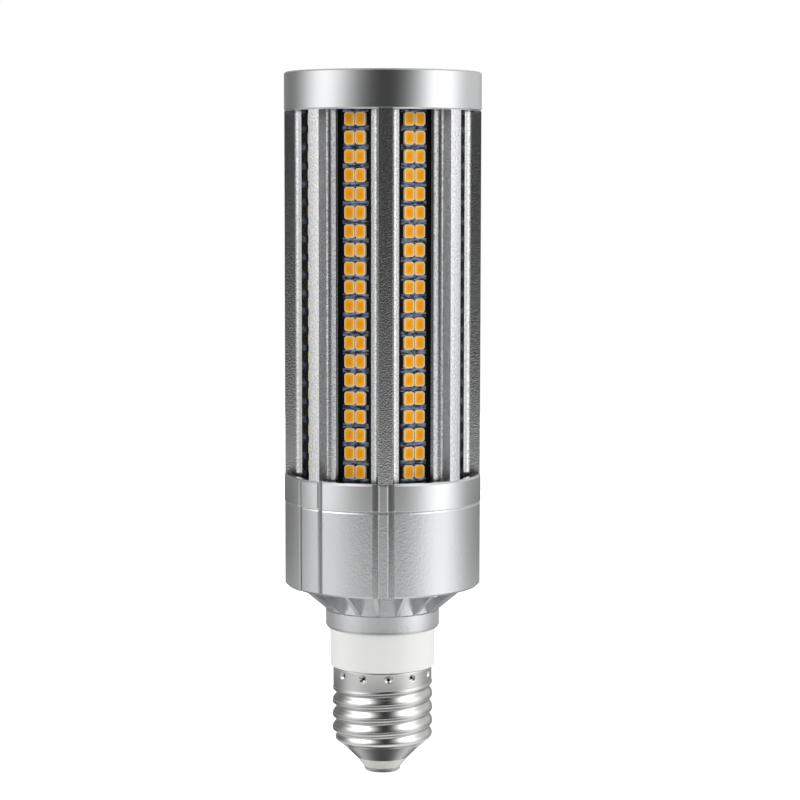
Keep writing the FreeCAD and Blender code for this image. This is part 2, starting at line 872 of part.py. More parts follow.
os.makedirs("parts", exist_ok=True)
for name, shape in pieces.items():
    if not shape.isValid():
        print("not valid:", name)
    print(f"{name:22s} solids {len(shape.Solids):3d}  volume {shape.Volume:10.1f}")
    shape.exportStep(f"parts/{name}.step")
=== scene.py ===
"""A corn LED bulb with an E27 base, dressed piece by piece from the column outwards.

Metres, +Z up, the bulb's centre contact at the origin and its front towards -Y.
"""

import math

import bpy
import numpy as np
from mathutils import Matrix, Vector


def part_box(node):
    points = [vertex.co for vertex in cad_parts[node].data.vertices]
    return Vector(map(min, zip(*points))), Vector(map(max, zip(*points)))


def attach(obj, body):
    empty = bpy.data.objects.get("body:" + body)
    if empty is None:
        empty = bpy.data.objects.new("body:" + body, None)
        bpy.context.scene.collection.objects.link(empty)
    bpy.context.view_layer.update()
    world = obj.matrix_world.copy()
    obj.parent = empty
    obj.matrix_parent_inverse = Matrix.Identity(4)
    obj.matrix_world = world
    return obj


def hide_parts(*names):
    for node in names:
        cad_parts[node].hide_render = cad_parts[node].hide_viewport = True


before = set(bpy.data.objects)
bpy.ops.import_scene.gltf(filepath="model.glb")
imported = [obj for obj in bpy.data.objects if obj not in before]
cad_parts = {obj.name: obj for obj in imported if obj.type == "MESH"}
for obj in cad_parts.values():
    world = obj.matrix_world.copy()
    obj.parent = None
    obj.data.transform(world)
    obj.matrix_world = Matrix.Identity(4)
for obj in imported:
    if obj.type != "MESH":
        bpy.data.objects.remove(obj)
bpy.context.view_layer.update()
mm = 0.001


# Column
# One aluminium extrusion: eight square ribs, and between them eight flat channels whose
# lips hold the LED strips. It is bead-blasted and clear anodised, which leaves a fine
# even grain that sparkles where a dark part of the room is mirrored.

column_grain = 0.42 * mm      # coarser than real blasting, so that it shows
column_die_line = 0.30 * mm      # coarser than real die lines
crease = 25.0
weld_reach = 0.001 * mm


def linear(hex_colour):
    """An sRGB hex colour as linear red, green, blue and alpha."""
    parts = np.array([int(hex_colour[i:i + 2], 16) for i in (1, 3, 5)]) / 255
    parts = np.where(parts <= 0.04045, parts / 12.92, ((parts + 0.055) / 1.055) ** 2.4)
    return (*parts.tolist(), 1.0)


def wire(tree, node, links):
    """Links outputs to a node's inputs by name."""
    for name, output in links.items():
        tree.links.new(output, node.inputs[name])


def add(tree, kind, settings=None, links=None):
    """Adds a shader node, sets its properties or sockets by name, and links its inputs."""
    made = tree.nodes.new(kind)
    for name, value in (settings or {}).items():
        if isinstance(name, str) and hasattr(made, name):
            setattr(made, name, value)
        else:
            made.inputs[name].default_value = value
    wire(tree, made, links or {})
    return made


def finish_of(name, colour, **sockets):
    """A material with one Principled shader; returns it with its tree and its shader."""
    material = bpy.data.materials.new(name)
    material.use_nodes = True
    tree = material.node_tree
    shader = tree.nodes["Principled BSDF"]
    shader.inputs["Base Color"].default_value = linear(colour)
    for socket, value in sockets.items():
        shader.inputs[socket.replace("_", " ")].default_value = value
    return material, tree, shader


def dress(piece, material):
    """Gives a piece one material."""
    piece.data.materials.clear()
    piece.data.materials.append(material)


def welded_copy(node):
    """A copy of a solid's mesh with its loose triangles joined, smooth where it is curved."""
    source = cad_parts[node].data
    points = np.empty(3 * len(source.vertices))
    source.vertices.foreach_get("co", points)
    points = points.reshape(-1, 3)
    corners = np.empty(len(source.loops), np.int64)
    source.loops.foreach_get("vertex_index", corners)
    keys = np.round(points / weld_reach).astype(np.int64)
    _, first, which = np.unique(keys, axis=0, return_index=True, return_inverse=True)
    triangles = which.ravel()[corners].reshape(-1, 3)
    whole = (triangles != np.roll(triangles, 1, axis=1)).all(axis=1)
    mesh = bpy.data.meshes.new(node + "_surface")
    mesh.from_pydata(points[first].tolist(), [], triangles[whole].tolist())
    mesh.update()
    mesh.polygons.foreach_set("use_smooth", np.ones(len(mesh.polygons), bool))
    mesh.set_sharp_from_angle(angle=math.radians(crease))
    piece = bpy.data.objects.new(node + "_surface", mesh)
    bpy.context.scene.collection.objects.link(piece)
    weighted = piece.modifiers.new("flat_faces", "WEIGHTED_NORMAL")
    weighted.keep_sharp = True
    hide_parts(node)
    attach(piece, "root")
    return piece


# Blasted and anodised aluminium: metal, half matt, with a grain that breaks up dark
# reflections and faint lines along the extrusion.
blasted, tree, shader = finish_of("blasted_aluminium", "#E0E0E1", Metallic=1.0, Roughness=0.17)
place = add(tree, "ShaderNodeTexCoord").outputs["Object"]
grain = add(tree, "ShaderNodeTexNoise", {"Scale": 1 / column_grain, "Detail": 2.0}, {"Vector": place})
stretched = add(tree, "ShaderNodeMapping", {"Scale": (1.0, 1.0, 0.01)}, {"Vector": place})
lines = add(tree, "ShaderNodeTexNoise", {"Scale": 1 / column_die_line, "Detail": 1.0},
            {"Vector": stretched.outputs["Vector"]})
height = add(tree, "ShaderNodeMath", {"operation": "MULTIPLY_ADD", 1: 0.15},
             {0: lines.outputs["Fac"], 2: grain.outputs["Fac"]})
relief = add(tree, "ShaderNodeBump", {"Strength": 0.9, "Distance": 0.075 * mm},
             {"Height": height.outputs["Value"]})
pits = add(tree, "ShaderNodeMapRange", {"From Min": 0.35, "From Max": 0.62},
           {"Value": grain.outputs["Fac"]})
colour = add(tree, "ShaderNodeMix", {"data_type": "RGBA", 6: linear("#D3D4D5"), 7: linear("#ECECED")},
             {0: pits.outputs["Result"]})
wire(tree, shader, {"Base Color": colour.outputs[2], "Normal": relief.outputs["Normal"]})

column = welded_copy("heat_sink")
dress(column, blasted)


# LED strips
# Eight narrow boards of aluminium with a black solder mask, slid into the column's
# channels from one end. The mask is a baked ink, almost black, with little gloss.

strips = 8
front_strips = (0, 7)
mask_speck = 0.35 * mm      # coarser than the ink's real grain

mask, tree, shader = finish_of("black_solder_mask", "#060709", Roughness=0.55, Specular_IOR_Level=0.12)
place = add(tree, "ShaderNodeTexCoord").outputs["Object"]
specks = add(tree, "ShaderNodeTexNoise", {"Scale": 1 / mask_speck, "Detail": 2.0}, {"Vector": place})
relief = add(tree, "ShaderNodeBump", {"Strength": 0.4, "Distance": 0.04 * mm},
             {"Height": specks.outputs["Fac"]})
wire(tree, shader, {"Normal": relief.outputs["Normal"]})
for k in range(strips):
    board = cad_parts[f"led_board_{k + 1}"]
    dress(board, mask)
    board.visible_glossy = k not in front_strips      # the blasted lips are too matt to mirror them


# LEDs
# Two to a row and twenty rows on each strip. A package is a white moulded tray, 2.87 by
# 3.5 mm, filled level with orange-yellow phosphor in silicone, and soldered at both ends.

rib_turn = 1.6
row_pitch = 4.72 * mm
rows = 20
package_width = 2.87 * mm
package_length = 3.5 * mm
package_gap = 0.10 * mm
package_corner = 0.42 * mm
package_draft = 0.07 * mm
rim_beside = 0.35 * mm
rim_at_end = 0.24 * mm
rim_corner = 0.9 * package_corner
window_corner = 0.8 * package_corner
window_sink = 0.05 * mm
window_dip = 1.8
window_steps = 6


def strip_frame(k):
    """Strip k's directions across it and out from the axis, how far out its LEDs' foot and top are,
    and their middle height."""
    turn = math.radians(rib_turn + (k + 0.5) * 360 / strips)
    across = np.array([math.cos(turn), math.sin(turn), 0.0])
    out = np.array([math.sin(turn), -math.cos(turn), 0.0])
    low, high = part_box(f"leds_{k + 1}")
    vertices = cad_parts[f"leds_{k + 1}"].data.vertices
    points = np.empty(3 * len(vertices))
    vertices.foreach_get("co", points)
    reach = points.reshape(-1, 3) @ out
    return across, out, reach.min(), reach.max(), (low[2] + high[2]) / 2


def led_centres():
    """Offsets of a strip's LEDs across it and along it, two columns by twenty rows."""
    side = np.array([-1, 1]) * (package_width + package_gap) / 2
    along = (np.arange(rows) - (rows - 1) / 2) * row_pitch
    grid = np.meshgrid(side, along)
    return np.stack([grid[0].ravel(), grid[1].ravel()], axis=1)


def clipped_rectangle(half_width, half_length, corner):
    """The eight corners of a rectangle with its corners cut off, counter-clockwise from outside."""
    w, l, c = half_width, half_length, corner
    return np.array([
        (w, -l + c), (w, l - c), (w - c, l), (-w + c, l),
        (-w, l - c), (-w, -l + c), (-w + c, -l), (w - c, -l),
    ])


def mesh_piece(name, points, faces, material, smooth=False, **attributes):
    """A piece from arrays of points and faces, with a value at each point for each attribute."""
    mesh = bpy.data.meshes.new(name)
    mesh.from_pydata(points.tolist(), [], [list(face) for face in faces])
    mesh.update()
    mesh.polygons.foreach_set("use_smooth", np.full(len(mesh.polygons), smooth))
    for label, values in attributes.items():
        attribute = mesh.attributes.new(label, "FLOAT", "POINT")
        attribute.data.foreach_set("value", values.ravel().astype(np.float32))
    piece = bpy.data.objects.new(name, mesh)
    bpy.context.scene.collection.objects.link(piece)
    dress(piece, material)
    return piece


def repeat_on_strip(k, local, faces, centres, out_low):
    """Copies a small shape, given as (across, along, out) points, to every centre on strip k."""
    across, out, _, _, middle = strip_frame(k)
    shift = np.concatenate([centres, np.zeros((len(centres), 1))], axis=1)
    spots = (local[None, :, :] + shift[:, None, :]).reshape(-1, 3)
    points = spots[:, :1] * across + (spots[:, 2:] + out_low) * out
    points = points + (spots[:, 1:2] + middle) * np.array([0.0, 0.0, 1.0])
    faces = np.asarray(faces)
    steps = np.arange(len(centres))[:, None, None] * len(local)
    return points, (faces[None] + steps).reshape(-1, faces.shape[1])


def ring_faces(first, second, count):
    """Quads between two rings of points, given where each ring starts."""
    i = np.arange(count)
    j = (i + 1) % count
    return np.stack([first + i, first + j, second + j, second + i], axis=1)


def grid_faces(steps_up, steps_across):
    """Quads over a grid of points that is counted across first."""
    i, j = np.meshgrid(np.arange(steps_across - 1), np.arange(steps_up - 1))
    low = (j * steps_across + i).ravel()
    return np.stack([low, low + 1, low + 1 + steps_across, low + steps_across], axis=1)


def tray_shape(height):
    """A tray's rings from its foot up its drafted side, over the rim and down to the window, each a
    clipped rectangle, and how near each ring is to the phosphor, from 0 to 1."""
    half_width = package_width / 2
    half_length = package_length / 2
    rings = [
        (0.0, 0.0, 0.0, package_corner, 0.0),
        (package_draft, package_draft, height, package_corner, 0.1),
        (rim_beside, rim_at_end, height, rim_corner, 1.0),
        (rim_beside + window_sink, rim_at_end + window_sink, height - window_sink, window_corner, 1.0),
    ]
    points = []
    near = []
    for beside, at_end, level, corner, tint in rings:
        outline = clipped_rectangle(half_width - beside, half_length - at_end, corner)
        points.append(np.column_stack([outline, np.full(8, level)]))
        near.append(np.full(8, tint))
    faces = [ring_faces(8 * i, 8 * i + 8, 8) for i in range(len(rings) - 1)]
    return np.concatenate(points), np.concatenate(faces), np.concatenate(near)


def window_shape(height):
    """The phosphor's surface over the tray's window: its depth under the rim goes with a constant
    less the squared share of the way out to the window's edge."""
    half_width = package_width / 2 - rim_beside
    half_length = package_length / 2 - rim_at_end
    u, v = np.meshgrid(np.linspace(-1, 1, window_steps), np.linspace(-1, 1, window_steps))
    edge = np.maximum(np.abs(u), np.abs(v))
    level = height - window_sink * (window_dip - edge ** 2)
    points = np.column_stack([(u * half_width).ravel(), (v * half_length).ravel(), level.ravel()])
    return points, grid_faces(window_steps, window_steps), edge.ravel()


# Moulded tray: a white reflective plastic, half matt, stained amber next to the phosphor.
tray, tree, shader = finish_of("moulded_tray", "#F7E2C4", Roughness=0.40)
near = add(tree, "ShaderNodeAttribute", {"attribute_name": "near"}).outputs["Fac"]
colour = add(tree, "ShaderNodeMix", {"data_type": "RGBA", 6: linear("#F7E2C4"), 7: linear("#FFCB80")},
             {0: near})
wire(tree, shader, {"Base Color": colour.outputs[2]})

# Phosphor in silicone: half matt, deep orange where it is thick, yellower at the rim.
phosphor, tree, shader = finish_of("phosphor_silicone", "#FF9A00", Roughness=0.36, Specular_IOR_Level=0.10)
rim = add(tree, "ShaderNodeAttribute", {"attribute_name": "rim"}).outputs["Fac"]
spread = add(tree, "ShaderNodeMath", {"operation": "POWER", 1: 1.8}, {0: rim})
colour = add(tree, "ShaderNodeMix", {"data_type": "RGBA", 6: linear("#FF9A00"), 7: linear("#FFC236")},
             {0: spread.outputs["Value"]})
wire(tree, shader, {"Base Color": colour.outputs[2]})

for k in range(strips):
    _, _, foot, top, _ = strip_frame(k)
    shape, faces, near = tray_shape(top - foot)
    points, faces = repeat_on_strip(k, shape, faces, led_centres(), foot)
    trays = mesh_piece(f"led_trays_{k + 1}", points, faces, tray, near=np.tile(near, 2 * rows))
    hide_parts(f"leds_{k + 1}")
    shape, faces, edge = window_shape(top - foot)
    points, faces = repeat_on_strip(k, shape, faces, led_centres(), foot)
    windows = mesh_piece(f"led_windows_{k + 1}", points, faces, phosphor, smooth=True,
                         rim=np.tile(edge, 2 * rows))
    for piece in (trays, windows):
        piece.visible_glossy = False      # the blasted metal is too matt to mirror them
        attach(piece, "root")


# Solder and copper
# Between two rows the mask is left open over the packages' copper lands. The solder on
# them sets as low domes that show grey-blue between the rows and past the outer ends.

pad_width = 7.1 * mm
pad_height = 0.20 * mm
pad_across = 15
pad_along = 5
pad_overlap = 0.05 * mm
wrinkle = 1.6 * mm


def pad_shape(half_length):
    """A low dome over a rectangle: its height goes with the root of one less the fourth power of the
    place across it, times one less the square of the place along it."""
    u, v = np.meshgrid(np.linspace(-1, 1, pad_across), np.linspace(-1, 1, pad_along))
    level = pad_height * np.sqrt(np.clip((1 - u ** 4) * (1 - v ** 2), 0, 1))
    points = np.column_stack([(u * pad_width / 2).ravel(), (v * half_length).ravel(), level.ravel()])
    return points, grid_faces(pad_along, pad_across)


# Tinned copper: a dull blue-white metal with a wrinkled skin and dark flux in its hollows.
tin, tree, shader = finish_of("tinned_land", "#7A879C", Metallic=1.0, Roughness=0.42)
place = add(tree, "ShaderNodeTexCoord").outputs["Object"]
streaked = add(tree, "ShaderNodeMapping", {"Scale": (1.0, 1.0, 2.6)}, {"Vector": place})
wrinkles = add(tree, "ShaderNodeTexNoise", {"Scale": 1 / wrinkle, "Detail": 1.5},
               {"Vector": streaked.outputs["Vector"]})
relief = add(tree, "ShaderNodeBump", {"Strength": 0.6, "Distance": 0.15 * mm},
             {"Height": wrinkles.outputs["Fac"]})
flux = add(tree, "ShaderNodeMapRange", {"From Min": 0.38, "From Max": 0.60},
           {"Value": wrinkles.outputs["Fac"]})
colour = add(tree, "ShaderNodeMix", {"data_type": "RGBA", 6: linear("#2A3140"), 7: linear("#7A879C")},
             {0: flux.outputs["Result"]})
wire(tree, shader, {"Base Color": colour.outputs[2], "Normal": relief.outputs["Normal"]})

half_gap = (row_pitch - package_length) / 2
for k in range(strips):
    _, _, foot, _, _ = strip_frame(k)
    between = (np.arange(rows + 1) - rows / 2) * row_pitch
    centres = np.stack([0 * between, between], axis=1)
    shape, faces = pad_shape(half_gap + pad_overlap)
    points, faces = repeat_on_strip(k, shape, faces, centres, foot)
    lands = mesh_piece(f"solder_lands_{k + 1}", points, faces, tin, smooth=True)
    lands.visible_glossy = k not in front_strips
    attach(lands, "root")


# Top cap
# A cup turned from aluminium bar and polished to satin, held by four flat-head screws.
# The lathe's tool leaves fine rings, so its highlights run up and down.

turning_ring = 0.16 * mm      # coarser than the lathe's real feed
cap_face = 183.9 * mm
matt_from = cap_face - 0.5 * mm
matt_to = cap_face - 0.1 * mm

# Turned and satin-polished aluminium: bright, with rings too fine to count, and on the
# flat top, where the rings cross every direction, more matt.
turned, tree, shader = finish_of("turned_aluminium", "#E8E9EA", Metallic=1.0, Roughness=0.21)
place = add(tree, "ShaderNodeTexCoord").outputs["Object"]
parts = add(tree, "ShaderNodeSeparateXYZ", {}, {"Vector": place})
flat = add(tree, "ShaderNodeMapping", {"Scale": (1.0, 1.0, 0.0)}, {"Vector": place})
out = add(tree, "ShaderNodeVectorMath", {"operation": "LENGTH"}, {0: flat.outputs["Vector"]})
rings_at = add(tree, "ShaderNodeCombineXYZ", {}, {"X": out.outputs["Value"], "Y": parts.outputs["Z"]})
rings = add(tree, "ShaderNodeTexNoise", {"Scale": 1 / turning_ring, "Detail": 1.0},
            {"Vector": rings_at.outputs["Vector"]})
relief = add(tree, "ShaderNodeBump", {"Strength": 0.25, "Distance": 0.02 * mm},
             {"Height": rings.outputs["Fac"]})
rough = add(tree, "ShaderNodeMapRange",
            {"From Min": matt_from, "From Max": matt_to, "To Min": 0.21, "To Max": 0.50},
            {"Value": parts.outputs["Z"]})
wire(tree, shader, {"Roughness": rough.outputs["Result"], "Normal": relief.outputs["Normal"]})

cap = welded_copy("top_cap")
dress(cap, turned)


# Screws
# Four in the cap and two under the housing, cold-headed steel with a bright zinc plate,
# which is a cool light grey with a fine grain.

zinc_grain = 0.20 * mm      # coarser than the real crystals
zinc_steel, tree, shader = finish_of("zinc_plated_steel", "#C9CCD2", Metallic=1.0, Roughness=0.30)
place = add(tree, "ShaderNodeTexCoord").outputs["Object"]
grain = add(tree, "ShaderNodeTexNoise", {"Scale": 1 / zinc_grain, "Detail": 2.0}, {"Vector": place})
relief = add(tree, "ShaderNodeBump", {"Strength": 0.2, "Distance": 0.02 * mm},
             {"Height": grain.outputs["Fac"]})
wire(tree, shader, {"Normal": relief.outputs["Normal"]})
for node in ("cap_screws", "housing_screws"):
    dress(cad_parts[node], zinc_steel)


# Housing
# One die casting: cup, floor, gussets, core and collar. It is shot-blasted and lacquered
# silver, and the band at its top is then turned bright.

cast_grain = 0.60 * mm      # coarser than real shot marks, so that it shows
band_edge = 72.35 * mm
bevel_half = 0.25 * mm
groove_floor = 24.75 * mm
groove_lip = 24.97 * mm
tongue_reach = 3.6 * mm
# the height on the cup's wall below which the grooves' painted shade is at its lightest
groove_shade_low = 52.0 * mm
cup_inside = 24.0 * mm

# Lacquered casting below the band, with a blasted grain, and bright turned metal on it. A
# fine bevel between them catches the light.
cast, tree, shader = finish_of("silver_casting", "#DADBDC", Metallic=1.0, Roughness=0.31)
place = add(tree, "ShaderNodeTexCoord").outputs["Object"]
parts = add(tree, "ShaderNodeSeparateXYZ", {}, {"Vector": place})
on_band = add(tree, "ShaderNodeMath", {"operation": "GREATER_THAN", 1: band_edge},
              {0: parts.outputs["Z"]}).outputs["Value"]
rough = add(tree, "ShaderNodeMapRange", {"To Min": 0.31, "To Max": 0.21}, {"Value": on_band})
grain = add(tree, "ShaderNodeTexNoise", {"Scale": 1 / cast_grain, "Detail": 2.5}, {"Vector": place})
depth = add(tree, "ShaderNodeMapRange", {"To Min": 1.0, "To Max": 0.1}, {"Value": on_band})
height = add(tree, "ShaderNodeMath", {"operation": "MULTIPLY"},
             {0: grain.outputs["Fac"], 1: depth.outputs["Result"]})
bevel = add(tree, "ShaderNodeMapRange",
            {"From Min": band_edge - bevel_half, "From Max": band_edge + bevel_half},
            {"Value": parts.outputs["Z"]})
edge = add(tree, "ShaderNodeBump", {"Strength": 1.0, "Distance": 0.10 * mm},
           {"Height": bevel.outputs["Result"]})
relief = add(tree, "ShaderNodeBump", {"Strength": 0.7, "Distance": 0.08 * mm},
             {"Height": height.outputs["Value"], "Normal": edge.outputs["Normal"]})

# The grooves beside the tongue, on the cup's wall, are painted a darker grey as shade,
# most of all near the band.
flat = add(tree, "ShaderNodeMapping", {"Scale": (1.0, 1.0, 0.0)}, {"Vector": place})
out = add(tree, "ShaderNodeVectorMath", {"operation": "LENGTH"}, {0: flat.outputs["Vector"]})
sunk = add(tree, "ShaderNodeMapRange",
           {"From Min": groove_floor, "From Max": groove_lip, "To Min": 1.0, "To Max": 0.0},
           {"Value": out.outputs["Value"]})
on_cup = add(tree, "ShaderNodeMath", {"operation": "GREATER_THAN", 1: cup_inside},
             {0: out.outputs["Value"]})
beside = add(tree, "ShaderNodeMath", {"operation": "ABSOLUTE"}, {0: parts.outputs["X"]})
near_tongue = add(tree, "ShaderNodeMath", {"operation": "LESS_THAN", 1: tongue_reach},
                  {0: beside.outputs["Value"]})
groove_shade_rise = add(tree, "ShaderNodeMapRange",
                {"From Min": groove_shade_low, "From Max": band_edge, "To Min": 0.3, "To Max": 1.0},
                {"Value": parts.outputs["Z"]})
groove_shade = sunk.outputs["Result"]
for limit in (on_cup.outputs["Value"], near_tongue.outputs["Value"], groove_shade_rise.outputs["Result"]):
    groove_shade = add(tree, "ShaderNodeMath", {"operation": "MULTIPLY"}, {0: groove_shade, 1: limit}).outputs["Value"]
skin = add(tree, "ShaderNodeMix", {"data_type": "RGBA", 6: linear("#DADBDC"), 7: linear("#E8E9EA")},
           {0: on_band})
# painted shade: the darker grey laid into the grooves beside the tongue
colour = add(tree, "ShaderNodeMix", {"data_type": "RGBA", 7: linear("#98999A")},
             {0: groove_shade, 6: skin.outputs[2]})
wire(tree, shader, {"Base Color": colour.outputs[2], "Roughness": rough.outputs["Result"],
                    "Normal": relief.outputs["Normal"]})

housing = welded_copy("lower_housing")
dress(housing, cast)


# Neck
# The white moulding that lines the housing and comes out under the collar. It is a
# heat-resisting polyester with a faint moulded sheen.

mould_grain = 0.25 * mm
white_plastic, tree, shader = finish_of("moulded_polyester", "#F6F6F5", Roughness=0.42)
place = add(tree, "ShaderNodeTexCoord").outputs["Object"]
grain = add(tree, "ShaderNodeTexNoise", {"Scale": 1 / mould_grain, "Detail": 2.0}, {"Vector": place})
relief = add(tree, "ShaderNodeBump", {"Strength": 0.15, "Distance": 0.02 * mm},
             {"Height": grain.outputs["Fac"]})
wire(tree, shader, {"Normal": relief.outputs["Normal"]})
neck = welded_copy("inner_cup")
dress(neck, white_plastic)


# Screw shell
# Thin sheet brass, drawn, rolled to the right-handed E27 knuckle thread and plated with
# bright nickel. Its skirt is rolled in under the neck, and punch marks lock it there.

thread_pitch = 3.629 * mm
thread_mean = 12.70 * mm
thread_swing = 0.52 * mm
thread_top = 23.5 * mm
thread_start = 0.7 * mm
thread_low = 7.4 * mm
thread_fade = 1.4 * mm
run_out = 1.2
thread_root = 17.2 * mm
root_sharpness = 2.0
crest_lag = 0.6
skirt_radius = 13.03 * mm
skirt_roll = 0.60 * mm
skirt_roll_in = 0.45 * mm
cone_foot = 6.95 * mm
cone_head = 12.37 * mm
cone_top = 8.8 * mm
cone_bend = 1.3 * mm
punches = 12
punch_turn = 7.0
punch_level = 26.6 * mm
punch_size = 0.90 * mm
punch_depth = 0.60 * mm
punch_bluntness = 0.6
# how far the painted hole shade at a punch mark's middle reaches, and how soft its edge is, as shares of
# the mark's radius
punch_hole = 0.62
punch_shade_soft = 0.2
nickel_cloud = 2.5 * mm
shell_skin = 0.35 * mm
shell_around = 360
shell_up = 248
shell_up_inside = 10

shell_low, shell_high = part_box("screw_shell")


def smooth_step(value):
    """Eases a value from 0 to 1 with level ends."""
    t = np.clip(value, 0, 1)
    return t * t * (3 - 2 * t)


def body_radius(level, fall):
    """The shell without its thread, from cone to tube by the lesser radius, rounded where they meet.
    The tube has the thread's mean radius, and the skirt's where the thread is over."""
    slope = (cone_head - cone_foot) / (cone_top - shell_low[2])
    cone = cone_foot + slope * (level - shell_low[2])
    tube = thread_mean + (skirt_radius - thread_mean) * (1 - fall)
    blend = np.clip(0.5 + 0.5 * (cone - tube) / cone_bend, 0, 1)
    return cone + (tube - cone) * blend - cone_bend * blend * (1 - blend)


def punch_distance(turn, level):
    """How far a place is from the nearest punch mark's middle, over the mark's radius."""
    step = 2 * math.pi / punches
    off = (turn - math.radians(punch_turn) + step / 2) % step - step / 2
    return np.hypot(off * skirt_radius, level - punch_level) / punch_size


def shell_radius(turn, level):
    """The rolled shell's radius: its body, plus a thread with wide crests and narrow roots (one less
    twice the squared haversine of the helix's phase) whose upper end follows the helix and runs out
    behind, less a round dent at each punch mark and a quarter circle at the skirt's rolled edge."""
    behind = smooth_step((turn - math.pi + run_out / 2) / run_out)
    top = thread_top + thread_pitch * (turn / (2 * math.pi) - behind)
    fall = smooth_step((top - level) / thread_start)
    rise = smooth_step((level - thread_low) / thread_fade)
    crest = math.pi / 2 + 2 * math.pi * (level - thread_root) / thread_pitch
    phase = turn - crest - crest_lag * (1 + np.cos(turn - crest)) / 2
    root = (1 - np.cos(phase)) / 2
    radius = body_radius(level, fall) + thread_swing * rise * fall * (1 - 2 * root ** root_sharpness)
    far = punch_distance(turn, level)
    radius = radius - punch_depth * np.clip(1 - far ** 2, 0, 1) ** punch_bluntness
    rolled = np.clip((level - shell_high[2] + skirt_roll) / skirt_roll, 0, 1)
    return radius - skirt_roll_in * (1 - np.sqrt(1 - rolled ** 2))


def closed_tube(name, rings, material, **attributes):
    """A closed surface through rings of points, the last joined to the first."""
    levels, count, _ = rings.shape
    row, column = np.meshgrid(np.arange(levels), np.arange(count), indexing="ij")
    a = row * count + column
    b = row * count + (column + 1) % count
    c = (row + 1) % levels * count + (column + 1) % count
    d = (row + 1) % levels * count + column
    faces = np.stack([a, b, c, d], axis=-1).reshape(-1, 4)
    return mesh_piece(name, rings.reshape(-1, 3), faces, material, smooth=True, **attributes)


turn = np.linspace(0, 2 * math.pi, shell_around, endpoint=False)[None, :]
level = np.linspace(shell_low[2], shell_high[2], shell_up)[:, None]
outside = shell_radius(turn, level)
level_inside = np.linspace(shell_high[2], shell_low[2], shell_up_inside)[:, None]
inside = body_radius(level_inside, 1.0) - thread_swing - shell_skin
inside = np.minimum(inside, np.interp(level_inside, level[:, 0], outside.min(axis=1) - shell_skin))
radius = np.concatenate([outside, inside + 0 * turn])
levels = np.concatenate([level, level_inside])
# painted shade: near black at the middle of each punch mark, as if it were pierced
painted_punch_shade = np.clip((punch_hole - punch_distance(turn, levels)) / punch_shade_soft, 0, 1)
rings_of_shell = np.stack([
    radius * np.sin(turn),
    -radius * np.cos(turn),
    levels + 0 * turn,
], axis=-1)

# Bright nickel plate: a warm white metal, almost a mirror, clouded a little by handling.
# Each punch mark's middle is painted near black as the shade of a hole; the mesh is only dented there.
nickel, tree, shader = finish_of("nickel_plate", "#DCDCDB", Metallic=1.0, Roughness=0.10)
hole = add(tree, "ShaderNodeAttribute", {"attribute_name": "hole"}).outputs["Fac"]
colour = add(tree, "ShaderNodeMix", {"data_type": "RGBA", 6: linear("#DCDCDB"), 7: linear("#161616")},
             {0: hole})
place = add(tree, "ShaderNodeTexCoord").outputs["Object"]
clouds = add(tree, "ShaderNodeTexNoise", {"Scale": 1 / nickel_cloud, "Detail": 2.0}, {"Vector": place})
haze = add(tree, "ShaderNodeMapRange", {"To Min": 0.07, "To Max": 0.13}, {"Value": clouds.outputs["Fac"]})
wire(tree, shader, {"Base Color": colour.outputs[2], "Roughness": haze.outputs["Result"]})
shell = closed_tube("rolled_shell", rings_of_shell, nickel, hole=painted_punch_shade)
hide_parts("screw_shell")
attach(shell, "root")


# Insulator and centre contact
# A white glazed cone holds the brass contact button, whose stem is riveted through it.

glaze_cloud = 1.5 * mm
contact_grain = 0.20 * mm      # coarser than real handling marks

# Glazed white: smooth and glossy, a little uneven in tone.
glaze, tree, shader = finish_of("glazed_insulator", "#F3F2EF", Roughness=0.18)
place = add(tree, "ShaderNodeTexCoord").outputs["Object"]
clouds = add(tree, "ShaderNodeTexNoise", {"Scale": 1 / glaze_cloud, "Detail": 1.0}, {"Vector": place})
colour = add(tree, "ShaderNodeMix", {"data_type": "RGBA", 6: linear("#E9E8E3"), 7: linear("#F3F2EF")},
             {0: clouds.outputs["Fac"]})
wire(tree, shader, {"Base Color": colour.outputs[2]})
insulator = welded_copy("base_insulator")
dress(insulator, glaze)

# Plated brass: a warm white metal, half matt from handling.
contact_metal, tree, shader = finish_of("plated_brass", "#E4E2DD", Metallic=1.0, Roughness=0.45)
place = add(tree, "ShaderNodeTexCoord").outputs["Object"]
grain = add(tree, "ShaderNodeTexNoise", {"Scale": 1 / contact_grain, "Detail": 2.0}, {"Vector": place})
relief = add(tree, "ShaderNodeBump", {"Strength": 0.2, "Distance": 0.02 * mm},
             {"Height": grain.outputs["Fac"]})
wire(tree, shader, {"Normal": relief.outputs["Normal"]})
contact = welded_copy("centre_contact")
dress(contact, contact_metal)


# Driver
# The power supply inside the housing: a round glass-fibre board and its components,
# each in the plastic, ferrite or tape that it is made of, with that material's grain.

